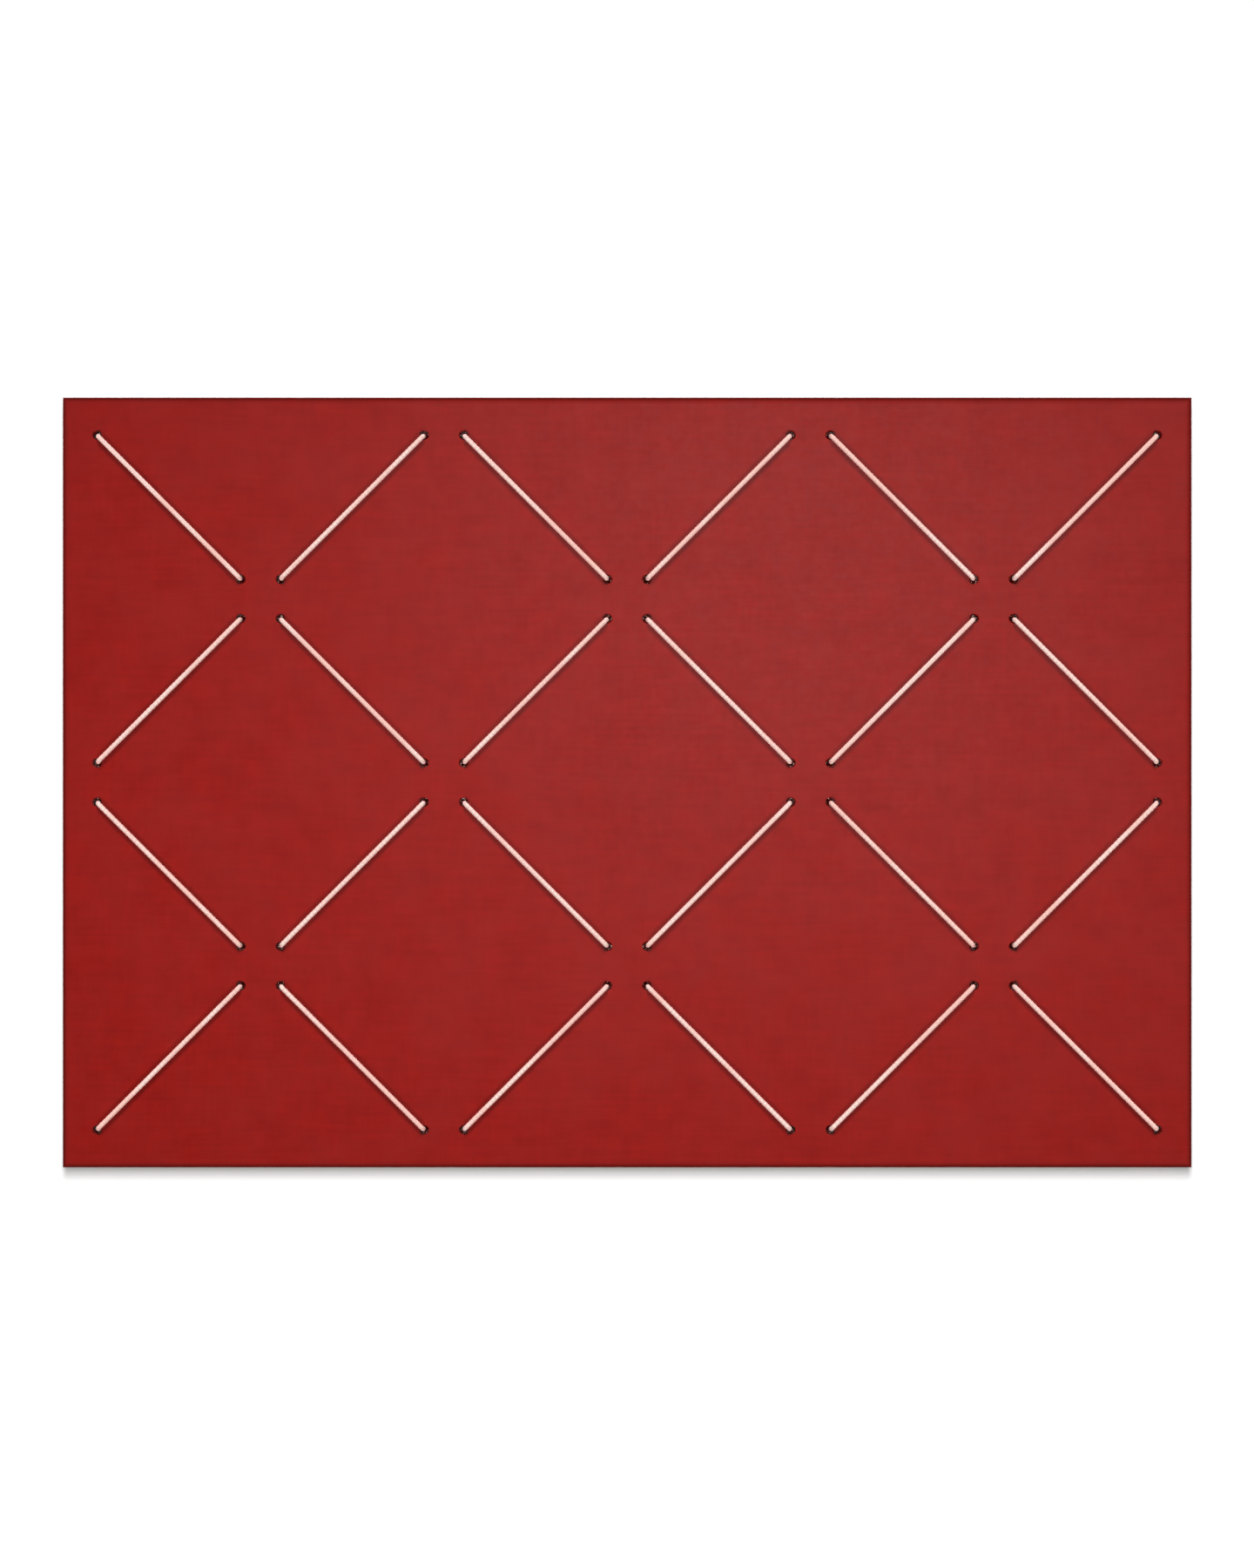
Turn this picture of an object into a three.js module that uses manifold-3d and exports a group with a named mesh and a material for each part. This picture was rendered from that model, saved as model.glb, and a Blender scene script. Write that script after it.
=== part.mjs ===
// Linoleum pin board: a laminated panel laced with two elastic cords, on battens with keyhole hangers.
// Millimetres, +Z up. The display face looks towards -Y and the wall is the plane y = 0.
// The origin lies on the wall, midway between the two wall screws that the board hangs on.

import * as THREE from 'three';
import { mergeVertices } from 'three/addons/utils/BufferGeometryUtils.js';
import Module from 'manifold-3d';

const wasm = await Module();
wasm.setup();

// Panel
const boardWidth = 660;
const boardHeight = 450;
const linoleumThickness = 2;
const coreThickness = 12;
const backingThickness = 1;
const edgeChamfer = 1;

// Lattice of cord holes: cells of one diagonal stretch each, meeting at nodes
const columns = 6;
const rows = 4;
const sideMargin = 20;
const endMargin = 22;
const nodeGap = 23;
const holeRadius = 2.5;

// Elastic cord
const cordRadius = 1.5;
const cordClearance = 0.3;
const crossingLift = 3.6;
const crossingHump = [[0.2, 0.3], [0.38, 1], [0.62, 1], [0.8, 0.3]]; // share of the run, share of the lift
const knotRadius = 4.2;
const knotLobe = 1.95;
const knotOpening = 0.5; // radians left out of the trefoil at each end
const knotLead = 2;
const tailLength = 20;

// Battens, pads and hangers
const battenLength = 600;
const battenHeight = 40;
const battenThickness = 10;
const battenChamfer = 1.5;
const battenScrewStations = [-255, -90, 90, 255];
const padRadius = 8;
const padThickness = 1.5;
const padChamfer = 0.3;
const padStation = 286;
const wallScrewSpacing = 400;
const plateWidth = 46;
const plateHeight = 24.5;
const plateCorner = 4;
const plateThickness = 1.5;
const plateScrewOffset = 17;
const keyholeEntryRadius = 4.75;
const keyholeSlotRadius = 2.5;
const keyholeDrop = 9;
const plateDrop = 5.25;
const pocketRadius = 6.5;
const pocketDepth = 6;

// Countersunk screws
const battenScrew = { shank: 1.75, head: 3.5, length: 18, tip: 4 };
const plateScrew = { shank: 1.25, head: 2.7, length: 8, tip: 3 };
const screwRim = 0.3;
const fitGap = 0.3;

// Facets
const frontHoleSides = 10;
const innerHoleSides = 8;
const cordSides = 8;
const knotRings = 20;
const screwSides = 10;
const padSides = 16;
const cornerSegments = 3;
const seatSegments = 6;
const entrySegments = 10;

// How far a cutting tool runs past the face that it cuts through
const overshoot = 1;

// Depths along Y, from the wall forwards
const battenRear = -padThickness;
const backingRear = battenRear - battenThickness;
const coreRear = backingRear - backingThickness;
const linoleumRear = coreRear - coreThickness;
const linoleumFront = linoleumRear - linoleumThickness;
const plateFront = battenRear - plateThickness;
const pocketFloor = plateFront - pocketDepth;

// Heights along Z, where the wall screws sit at z = 0
const pitchX = (boardWidth - 2 * sideMargin + nodeGap) / columns;
const pitchZ = (boardHeight - 2 * endMargin + nodeGap) / rows;
const plateZ = -plateDrop;
const cellMiddle = endMargin + (pitchZ - nodeGap) / 2;
const boardTop = plateZ + cellMiddle;
const boardMiddle = boardTop - boardHeight / 2;
const upperBattenZ = plateZ;
const lowerBattenZ = boardTop - boardHeight + cellMiddle;
const battenHeights = { upper: upperBattenZ, lower: lowerBattenZ };

// The lattice nodes that each cord visits, counted from the top left corner
const cordANodes = [
  [0, 0], [1, 1], [2, 2], [3, 3], [4, 4], [5, 3], [6, 2],
  [5, 1], [4, 0], [3, 1], [2, 2], [1, 3], [0, 4],
];
const cordBNodes = cordANodes.map(([i, j]) => [columns - i, j]);

const materials = {
  linoleum: { color: 0x9c2b28, roughness: 0.55, metalness: 0 },
  core: { color: 0x2b2422, roughness: 0.9, metalness: 0 },
  backing: { color: 0x4a3b31, roughness: 0.8, metalness: 0 },
  cord: { color: 0xf0d5c6, roughness: 0.9, metalness: 0 },
  batten: { color: 0xcaa677, roughness: 0.75, metalness: 0 },
  steel: { color: 0xb4b6b8, roughness: 0.35, metalness: 1 },
  felt: { color: 0x55524e, roughness: 1, metalness: 0 },
};

const board = new THREE.Group();

function addPart(name, geometry, materialName) {
  const mesh = new THREE.Mesh(geometry, new THREE.MeshStandardMaterial(materials[materialName]));
  mesh.name = name;
  board.add(mesh);
}

// Solid modelling

function toSolid(geometry) {
  const bare = geometry.clone();
  bare.deleteAttribute('normal');
  bare.deleteAttribute('uv');
  const merged = mergeVertices(bare);
  return new wasm.Manifold(new wasm.Mesh({
    numProp: 3,
    vertProperties: merged.attributes.position.array,
    triVerts: new Uint32Array(merged.index.array),
  }));
}

function toGeometry(solid) {
  const mesh = solid.getMesh();
  const geometry = new THREE.BufferGeometry();
  geometry.setAttribute('position', new THREE.BufferAttribute(mesh.vertProperties, 3));
  geometry.setIndex(new THREE.BufferAttribute(mesh.triVerts, 1));
  return geometry.toNonIndexed();
}

function cut(blank, tools) {
  let solid = toSolid(blank);
  for (const tool of tools) {
    solid = solid.subtract(toSolid(tool));
  }
  return toGeometry(solid);
}

// A block given by its lowest and highest corner
function block(low, high) {
  const size = high.map((value, axis) => value - low[axis]);
  const middle = high.map((value, axis) => (value + low[axis]) / 2);
  return new THREE.BoxGeometry(...size).translate(...middle);
}

// A shape drawn in X and Z, given thickness from y = front back to y = rear
function plateOf(shape, front, rear) {
  return new THREE.ExtrudeGeometry(shape, { depth: rear - front, bevelEnabled: false })
    .rotateX(Math.PI / 2)
    .translate(0, rear, 0);
}

// A round bit along Y whose flats touch the stated radius
function roundBit(radius, sides, front, rear) {
  const corner = radius / Math.cos(Math.PI / sides);
  return new THREE.CylinderGeometry(corner, corner, rear - front, sides)
    .translate(0, (front + rear) / 2, 0);
}

// Lattice

const nodeX = (i) => (i - columns / 2) * pitchX;
const nodeZ = (j) => boardMiddle + (rows / 2 - j) * pitchZ;

// The hole beside a node, on the side of the node that the stretch runs to
function holeBeside(node, next) {
  const sideX = Math.sign(next[0] - node[0]);
  const sideZ = Math.sign(node[1] - next[1]);
  return new THREE.Vector3(
    nodeX(node[0]) + (sideX * nodeGap) / 2,
    0,
    nodeZ(node[1]) + (sideZ * nodeGap) / 2,
  );
}

function cordHoles() {
  const holes = [];
  for (const nodes of [cordANodes, cordBNodes]) {
    for (let k = 1; k < nodes.length; k += 1) {
      holes.push(holeBeside(nodes[k - 1], nodes[k]), holeBeside(nodes[k], nodes[k - 1]));
    }
  }
  return holes;
}

function cordHoleBits(sides) {
  return cordHoles().map((hole) => (
    roundBit(holeRadius, sides, linoleumFront - overshoot, backingRear + overshoot)
      .translate(hole.x, 0, hole.z)
  ));
}

// Screws, revolved about Y with the head towards the wall

function screwProfile({ shank, head, length, tip }, clearance) {
  const shankRadius = shank + clearance;
  const headRadius = head + clearance;
  const top = clearance > 0 ? overshoot : 0;
  return [
    [0, -length - clearance],
    [shankRadius, tip - length - clearance],
    [shankRadius, shank - head - screwRim],
    [headRadius, -screwRim],
    [headRadius, top],
    [0, top],
  ].map(([radius, y]) => new THREE.Vector2(radius, y));
}

function screwAt(screw, x, z, clearance = 0) {
  return new THREE.LatheGeometry(screwProfile(screw, clearance), screwSides)
    .translate(x, battenRear, z);
}

function battenScrewSpaces(z) {
  return battenScrewStations.map((x) => screwAt(battenScrew, x, z, fitGap));
}

// Panel layers

// The linoleum's outline seen along one board edge, with its two front corners chamfered
function chamferedProfile(width) {
  const half = width / 2;
  return new THREE.Shape([
    new THREE.Vector2(-half, linoleumRear),
    new THREE.Vector2(-half, linoleumFront + edgeChamfer),
    new THREE.Vector2(-half + edgeChamfer, linoleumFront),
    new THREE.Vector2(half - edgeChamfer, linoleumFront),
    new THREE.Vector2(half, linoleumFront + edgeChamfer),
    new THREE.Vector2(half, linoleumRear),
  ]);
}

function linoleumSheet() {
  const across = new THREE.ExtrudeGeometry(chamferedProfile(boardWidth), {
    depth: boardHeight,
    bevelEnabled: false,
  }).translate(0, 0, boardMiddle - boardHeight / 2);
  const upright = new THREE.ExtrudeGeometry(chamferedProfile(boardHeight), {
    depth: boardWidth,
    bevelEnabled: false,
  }).rotateY(Math.PI / 2).translate(-boardWidth / 2, 0, boardMiddle);
  const blank = toGeometry(toSolid(across).intersect(toSolid(upright)));
  return cut(blank, cordHoleBits(frontHoleSides));
}

function panelLayer(front, rear, holeSides) {
  const blank = block(
    [-boardWidth / 2, front, boardTop - boardHeight],
    [boardWidth / 2, rear, boardTop],
  );
  const screwSpaces = Object.values(battenHeights).flatMap(battenScrewSpaces);
  return cut(blank, [...cordHoleBits(holeSides), ...screwSpaces]);
}

// Battens and keyhole hangers

function battenBlank(z) {
  const half = battenHeight / 2;
  const profile = new THREE.Shape([
    new THREE.Vector2(-half, backingRear),
    new THREE.Vector2(half, backingRear),
    new THREE.Vector2(half, battenRear - battenChamfer),
    new THREE.Vector2(half - battenChamfer, battenRear),
    new THREE.Vector2(-half + battenChamfer, battenRear),
    new THREE.Vector2(-half, battenRear - battenChamfer),
  ]);
  return new THREE.ExtrudeGeometry(profile, { depth: battenLength, bevelEnabled: false })
    .rotateY(Math.PI / 2)
    .translate(-battenLength / 2, 0, z);
}

const quarterTurn = Math.PI / 2;

function arc(x, z, radius, from, to, segments) {
  const points = [];
  for (let k = 0; k <= segments; k += 1) {
    const angle = from + ((to - from) * k) / segments;
    points.push(new THREE.Vector2(x + radius * Math.cos(angle), z + radius * Math.sin(angle)));
  }
  return points;
}

// The outline of a hanger plate, grown by an allowance all round
function plateOutline(allowance) {
  const corner = plateCorner + allowance;
  const reachX = plateWidth / 2 - plateCorner;
  const reachZ = plateHeight / 2 - plateCorner;
  const cornerCentres = [[reachX, reachZ], [-reachX, reachZ], [-reachX, -reachZ], [reachX, -reachZ]];
  return cornerCentres.flatMap(([x, z], index) => {
    const from = index * quarterTurn;
    return arc(x, plateZ + z, corner, from, from + quarterTurn, cornerSegments);
  });
}

// A keyhole: an arc over the seat at z = 0, and a wider arc round the entry below it
function keyholeOutline(seatRadius, entryRadius) {
  const lean = Math.asin(seatRadius / entryRadius);
  return [
    ...arc(0, 0, seatRadius, 0, 2 * quarterTurn, seatSegments),
    ...arc(0, -keyholeDrop, entryRadius, quarterTurn + lean, 5 * quarterTurn - lean, entrySegments),
  ];
}

const hangerStations = { left: -wallScrewSpacing / 2, right: wallScrewSpacing / 2 };
const plateScrewXs = (x) => [x - plateScrewOffset, x + plateScrewOffset];

function hangerPlate(x) {
  const shape = new THREE.Shape(plateOutline(0));
  shape.holes = [new THREE.Path(keyholeOutline(keyholeSlotRadius, keyholeEntryRadius))];
  const plate = plateOf(shape, plateFront, battenRear).translate(x, 0, 0);
  return cut(plate, plateScrewXs(x).map((screwX) => screwAt(plateScrew, screwX, plateZ, fitGap)));
}

// The flush recess for a hanger plate, and the pocket behind it that the wall screw's head moves in
function hangerRecess(x) {
  const recess = new THREE.Shape(plateOutline(fitGap));
  const pocket = new THREE.Shape(keyholeOutline(pocketRadius, pocketRadius));
  return [
    plateOf(recess, plateFront, battenRear + overshoot).translate(x, 0, 0),
    plateOf(pocket, pocketFloor, plateFront + overshoot).translate(x, 0, 0),
  ];
}

function upperBatten() {
  const tools = Object.values(hangerStations).flatMap((x) => [
    ...hangerRecess(x),
    ...plateScrewXs(x).map((screwX) => screwAt(plateScrew, screwX, plateZ, fitGap)),
  ]);
  return cut(battenBlank(upperBattenZ), [...tools, ...battenScrewSpaces(upperBattenZ)]);
}

function lowerBatten() {
  return cut(battenBlank(lowerBattenZ), battenScrewSpaces(lowerBattenZ));
}

function wallPad(x, z) {
  const profile = [
    new THREE.Vector2(0, -padThickness),
    new THREE.Vector2(padRadius, -padThickness),
    new THREE.Vector2(padRadius, -padChamfer),
    new THREE.Vector2(padRadius - padChamfer, 0),
    new THREE.Vector2(0, 0),
  ];
  return new THREE.LatheGeometry(profile, padSides).translate(x, 0, z);
}

// Elastic cord, as the centres of its rings in order

const bendRadius = cordRadius + cordClearance;
const faceToWall = new THREE.Vector3(0, 1, 0);

// Two mitred rings where the cord rolls over a hole's rim, from the stretch outside to the inside of the
// hole. Their three runs touch the circle that the cord's centre follows round the rim.
function rimBend(hole, along, faceY, outward) {
  const rim = hole.clone().setY(faceY).addScaledVector(along, holeRadius);
  const halfMitre = Math.PI / 8;
  const reach = bendRadius / Math.cos(halfMitre);
  return [halfMitre, 3 * halfMitre].map((angle) => (
    rim.clone()
      .addScaledVector(outward, reach * Math.cos(angle))
      .addScaledVector(along, -reach * Math.sin(angle))
  ));
}

// From the stretch on the face, through a hole, to the run behind the panel
function throughHole(hole, alongFront, alongBack) {
  const front = rimBend(hole, alongFront, linoleumFront, faceToWall.clone().negate());
  const back = rimBend(hole, alongBack, backingRear, faceToWall);
  return [...front, ...back.reverse()];
}

function direction(from, to) {
  return to.clone().sub(from).normalize();
}

// A long low hump, where a run behind the panel passes over one laced before it
function humpOver(from, to) {
  return crossingHump.map(([share, lift]) => (
    from.clone().lerp(to, share).addScaledVector(faceToWall, crossingLift * lift)
  ));
}

// An overhand knot lying on the back of the panel. Its lobes follow a trefoil, opened where both ends
// point back along the run, and its tail passes beside the hole.
function overhandKnot(runEnd, along) {
  const side = new THREE.Vector3().crossVectors(along, faceToWall);
  const lobePoint = (t) => {
    const radius = knotRadius + knotLobe * Math.cos(3 * t);
    return [-radius * Math.cos(2 * t), radius * Math.sin(2 * t), -knotLobe * Math.sin(3 * t)];
  };
  const [startAlong, startSide, startRise] = lobePoint(knotOpening);
  const place = (ahead, aside, rise) => (
    runEnd.clone()
      .addScaledVector(along, ahead - startAlong + knotLead)
      .addScaledVector(side, aside - startSide)
      .addScaledVector(faceToWall, rise - startRise)
  );
  const points = [];
  for (let k = 0; k < knotRings; k += 1) {
    const t = knotOpening + ((2 * Math.PI - 2 * knotOpening) * k) / (knotRings - 1);
    points.push(place(...lobePoint(t)));
  }
  points.push(place(startAlong - tailLength / 2, -startSide, -startRise - knotLobe / 2));
  points.push(place(startAlong - tailLength, -startSide, -startRise - knotLobe));
  return points;
}

// The whole cord, from one knotted tail to the other. `crossed` keeps the nodes that a run already spans.
function lacedRoute(nodes, crossed) {
  const rings = [];
  const last = nodes.length - 1;
  for (let k = 0; k < last; k += 1) {
    const start = holeBeside(nodes[k], nodes[k + 1]);
    const end = holeBeside(nodes[k + 1], nodes[k]);
    const along = direction(start, end);
    const against = along.clone().negate();
    const before = k === 0 ? against : direction(start, holeBeside(nodes[k], nodes[k - 1]));
    const after = k === last - 1 ? along : direction(end, holeBeside(nodes[k + 1], nodes[k + 2]));
    const rising = throughHole(start, along, before).reverse();
    if (k === 0) {
      rings.push(...overhandKnot(rising[0], against).reverse());
    } else {
      const isInner = nodes[k][0] % columns !== 0 && nodes[k][1] % rows !== 0;
      const key = nodes[k].join();
      if (isInner && crossed.has(key)) {
        rings.push(...humpOver(rings.at(-1), rising[0]));
      }
      crossed.add(key);
    }
    rings.push(...rising, ...throughHole(end, against, after));
  }
  rings.push(...overhandKnot(rings.at(-1), direction(
    holeBeside(nodes[last - 1], nodes[last]),
    holeBeside(nodes[last], nodes[last - 1]),
  )));
  return rings;
}

// A path that puts one section at each ring centre, square to the bisector of the runs that meet there
class RingPath extends THREE.Curve {
  constructor(rings) {
    super();
    this.rings = rings;
  }

  getPoint(t, target = new THREE.Vector3()) {
    return target.copy(this.rings[Math.round(t * (this.rings.length - 1))]);
  }

  getTangent(t, target = new THREE.Vector3()) {
    const here = Math.round(t * (this.rings.length - 1));
    const centre = this.rings[here];
    target.set(0, 0, 0);
    if (here > 0) {
      target.add(direction(this.rings[here - 1], centre));
    }
    if (here < this.rings.length - 1) {
      target.add(direction(centre, this.rings[here + 1]));
    }
    return target.normalize();
  }

  getUtoTmapping(u) {
    return u;
  }
}

function cordTube(rings) {
  const section = new THREE.Shape();
  section.absarc(0, 0, cordRadius, 0, 2 * Math.PI);
  return new THREE.ExtrudeGeometry(section, {
    steps: rings.length - 1,
    curveSegments: cordSides / 2,
    bevelEnabled: false,
    extrudePath: new RingPath(rings),
  });
}

// Points along a cord's centre line, each with its distance from the start
function pointsAlong(rings, step) {
  const points = [];
  let travelled = 0;
  for (let k = 1; k < rings.length; k += 1) {
    const length = rings[k].distanceTo(rings[k - 1]);
    const count = Math.ceil(length / step);
    for (let n = 0; n < count; n += 1) {
      points.push({
        place: rings[k - 1].clone().lerp(rings[k], n / count),
        travelled: travelled + (length * n) / count,
      });
    }
    travelled += length;
  }
  return { points, length: travelled };
}

// The least gap between two cords, or between parts of one cord more than a bend apart
function leastGap(first, second) {
  const bendReach = 8 * cordRadius;
  let least = Infinity;
  for (const a of first.points) {
    for (const b of second.points) {
      if (first !== second || b.travelled - a.travelled > bendReach) {
        least = Math.min(least, a.place.distanceTo(b.place));
      }
    }
  }
  return least - 2 * cordRadius;
}

function reportCords(routes) {
  const step = 0.75;
  const cords = routes.map((rings) => pointsAlong(rings, step));
  for (const cord of cords) {
    const gap = leastGap(cord, cord).toFixed(2);
    console.log(`elastic cord ${cord.length.toFixed(0)} mm long, least gap to itself ${gap} mm`);
  }
  console.log(`least gap between the two cords ${leastGap(...cords).toFixed(2)} mm`);
}

// Assembly

addPart('linoleum_front_sheet', linoleumSheet(), 'linoleum');
addPart('core_panel', panelLayer(linoleumRear, coreRear, innerHoleSides), 'core');
addPart('backing_sheet', panelLayer(coreRear, backingRear, innerHoleSides), 'backing');

const crossedNodes = new Set();
const cordRoutes = [cordANodes, cordBNodes].map((nodes) => lacedRoute(nodes, crossedNodes));
addPart('elastic_cord_a', cordTube(cordRoutes[0]), 'cord');
addPart('elastic_cord_b', cordTube(cordRoutes[1]), 'cord');
reportCords(cordRoutes);

addPart('upper_batten', upperBatten(), 'batten');
addPart('lower_batten', lowerBatten(), 'batten');

for (const [level, z] of Object.entries(battenHeights)) {
  battenScrewStations.forEach((x, index) => {
    addPart(`${level}_batten_screw_${index + 1}`, screwAt(battenScrew, x, z), 'steel');
  });
  addPart(`${level}_wall_pad_left`, wallPad(-padStation, z), 'felt');
  addPart(`${level}_wall_pad_right`, wallPad(padStation, z), 'felt');
}

for (const [side, x] of Object.entries(hangerStations)) {
  addPart(`keyhole_hanger_${side}`, hangerPlate(x), 'steel');
  plateScrewXs(x).forEach((screwX, index) => {
    addPart(`hanger_screw_${side}_${index + 1}`, screwAt(plateScrew, screwX, plateZ), 'steel');
  });
}

export default board;
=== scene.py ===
"""Looks of the linoleum pin board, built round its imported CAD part.

Metres, +Z up. The display face looks towards -Y, the wall is the plane y = 0, and the wall screws
that the board hangs on are at z = 0.
"""

import math

import bmesh
import bpy
import numpy as np
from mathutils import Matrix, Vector, noise
from mathutils.geometry import delaunay_2d_cdt


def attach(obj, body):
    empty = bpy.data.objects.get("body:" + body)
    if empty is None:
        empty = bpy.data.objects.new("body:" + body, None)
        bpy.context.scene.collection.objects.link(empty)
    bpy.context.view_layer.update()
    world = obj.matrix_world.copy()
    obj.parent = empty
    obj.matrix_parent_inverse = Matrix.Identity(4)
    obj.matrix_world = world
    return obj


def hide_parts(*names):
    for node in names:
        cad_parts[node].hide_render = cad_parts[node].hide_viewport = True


MM = 0.001

# Panel
BOARD_WIDTH = 660 * MM
BOARD_HEIGHT = 450 * MM
LINOLEUM_FRONT = -26.5 * MM
LINOLEUM_REAR = -24.5 * MM
CORE_REAR = -12.5 * MM
BACKING_REAR = -11.5 * MM
BATTEN_REAR = -1.5 * MM
FACE_ARRIS = 1 * MM
FACE_ARRIS_STEPS = 4
HOLE_ARRIS = 0.5 * MM
BACKING_ARRIS = 0.25 * MM
BACKING_HOLE_ARRIS = 0.2 * MM
FINE_ARRIS = 0.05 * MM
NEARLY = 0.05 * MM
SHARP_ANGLE = math.radians(50)

# The face's dark edge: insets where its painted shade border is faint and where it ends, and
# strengths
SHADED_BORDER_FAINT = 2.2 * MM
SHADED_BORDER_END = 4 * MM
# Painted shade adds to the cut edge's colour on the arris and hole walls; the border is painted
# shade only.
EDGE_AND_SHADE_DARKNESS = {"arris": 1.0, "side": 0.3, "border": 0.26, "hole": 0.65}

# Lattice of cord holes
COLUMNS = 6
ROWS = 4
SIDE_MARGIN = 20 * MM
END_MARGIN = 22 * MM
NODE_GAP = 23 * MM
HOLE_RADIUS = 2.5 * MM
HOLE_SIDES = 32
PITCH_X = (BOARD_WIDTH - 2 * SIDE_MARGIN + NODE_GAP) / COLUMNS
PITCH_Z = (BOARD_HEIGHT - 2 * END_MARGIN + NODE_GAP) / ROWS

# Painted red bounce light in the front part of the holes: where it fades and ends in y and past
# a hole's radius, the border without any, and how far inside the face it starts and is full on the
# cord
RED_BOUNCE_FADES_Y = -18 * MM
RED_BOUNCE_ENDS_Y = -15 * MM
RED_BOUNCE_FADES_PAST_HOLE = 0.3 * MM
RED_BOUNCE_ENDS_PAST_HOLE = 0.5 * MM
RED_BOUNCE_FREE_BORDER = 2 * MM
RED_BOUNCE_FROM_BORDER = 3 * MM
CORD_RED_BOUNCE_STARTS = 0.4 * MM
CORD_RED_BOUNCE_FULL = 2.5 * MM

# Heights, from that of the hangers' middle
PLATE_Z = -5.25 * MM
CELL_MIDDLE = END_MARGIN + (PITCH_Z - NODE_GAP) / 2
BOARD_TOP = PLATE_Z + CELL_MIDDLE
BOARD_MIDDLE = BOARD_TOP - BOARD_HEIGHT / 2
BATTEN_HEIGHTS = {"upper": PLATE_Z, "lower": BOARD_TOP - BOARD_HEIGHT + CELL_MIDDLE}

# Elastic cord. Its reach is from a hole's rim to the centre line that bends over it.
CORD_RADIUS = 1.33 * MM
CORD_REACH = 1.5 * MM
CORD_RING_STEP = 0.6 * MM
CORD_SIDES = 16
CORD_END_SHARE = 0.85
BEND_STEPS = 8
BRAID_PITCH = 2.6 * MM
BRAID_STRANDS = 4
BRAID_RELIEF = 0.07 * MM

# Crossing behind a node: the hump's lift, and its start and rise in shares of the run
CROSSING_LIFT = 3.6 * MM
HUMP_STEPS = 40
HUMP_START = 0.04
HUMP_RISE = 0.34

# Knots: a trefoil curve, opened by an angle where the cord comes in, and the free tail
KNOT_RADIUS = 4.2 * MM
KNOT_LOBE = 1.95 * MM
KNOT_LEAD = 2 * MM
KNOT_OPENING = 0.5
KNOT_STEPS = 96
TAIL_LENGTH = 20 * MM
TAIL_STEPS = 20

# Felt pads: rings as shares of the radius, the rim as insets and places in y, and the lumps
PAD_RADIUS = 8 * MM
PAD_THICKNESS = 1.5 * MM
PAD_STATION = 286 * MM
PAD_SIDES = 64
PAD_RING_SHARES = [0.15, 0.3, 0.45, 0.6, 0.75, 0.88]
PAD_RIM = [
    (0.35 * MM, -PAD_THICKNESS), (0.0, 0.3 * MM - PAD_THICKNESS), (0.0, -0.75 * MM),
    (0.05 * MM, -0.4 * MM), (0.2 * MM, -0.15 * MM), (0.5 * MM, -0.02 * MM),
]
PAD_LUMPS_PER_METRE = 900
PAD_EDGE_LUMPS = 0.16 * MM
PAD_FACE_LUMPS = 0.07 * MM
PAD_WALL_SIDE = -0.2 * MM

# Keyhole hangers
HANGER_STATIONS = {"left": -200 * MM, "right": 200 * MM}
PLATE_WIDTH = 46 * MM
PLATE_HEIGHT = 24.5 * MM
PLATE_CORNER = 4 * MM
PLATE_CORNER_STEPS = 10
PLATE_FRONT = -3 * MM
PLATE_FRONT_ARRIS = 0.1 * MM
PLATE_REAR_ARRIS = 0.3 * MM
PLATE_SCREW_OFFSET = 17 * MM
KEYHOLE_ENTRY = 4.75 * MM
KEYHOLE_SLOT = 2.5 * MM
KEYHOLE_DROP = 9 * MM
KEYHOLE_ARRIS = 0.2 * MM
SEAT_STEPS = 20
ENTRY_STEPS = 36
COUNTERSINK_ARRIS = 0.08 * MM

# Screws
BATTEN_SCREW_STATIONS = [-255 * MM, -90 * MM, 90 * MM, 255 * MM]
BATTEN_SCREW = {"shank": 1.75 * MM, "head": 3.5 * MM, "length": 18 * MM, "tip": 4 * MM}
PLATE_SCREW = {"shank": 1.25 * MM, "head": 2.7 * MM, "length": 8 * MM, "tip": 3 * MM}
SCREW_RIM = 0.3 * MM
SCREW_CLEARANCE = 0.3 * MM
SCREW_SIDES = 32
CLEARANCE_HOLE_SIDES = 20
HEAD_EDGE = [
    (0.18 * MM, 0.0), (0.1 * MM, 0.0), (0.03 * MM, 0.04 * MM), (0.0, 0.12 * MM), (0.0, SCREW_RIM)
]

# Cross recess, in shares of the head's radius: reach and width of each level, and its depth
RECESS_MOUTH = (0.62, 0.24)
RECESS_THROAT = (0.58, 0.21)
RECESS_FLOOR = (0.30, 0.13)
RECESS_DEPTH = 0.42
RECESS_ARRIS = 0.06 * MM
RECESS_CORNER_SHARE = 0.28

# Thread, in shares of the shank's radius, and its distances from the cone and from the tip
THREAD_PITCH = 0.9
THREAD_DEPTH = 0.3
THREAD_FLANK = 2.6
THREAD_RINGS_PER_TURN = 6
THREAD_START = 0.3 * MM
THREAD_STOP = 0.35 * MM

# Pine: where the pith of the trunk lies in y and z, and the rings per metre
PITH_Y = 30 * MM
PITH_Z = -130 * MM
RINGS_PER_METRE = 330

# Camera, framed as the photograph is
CAMERA_LENS = 100
SENSOR_HEIGHT = 36
CAMERA_DISTANCE = 2.5453
CAMERA_ASIDE = -0.13 * MM
CAMERA_BELOW = 0.89 * MM

# Stage: the wall, discs of dark red painted shade behind the holes, and the floor
WALL_Y = 0.4 * MM
WALL_REACH = 0.7
WALL_LOW = -0.59
WALL_HIGH = 0.5
SHADE_Y = 0.2 * MM
SHADE_RADIUS = HOLE_RADIUS + 0.8 * MM
SHADE_SIDES = 16
FLOOR_Z = -1.0
FLOOR_REACH = 8.0
WHITE = (1.0, 1.0, 1.0)

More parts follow.
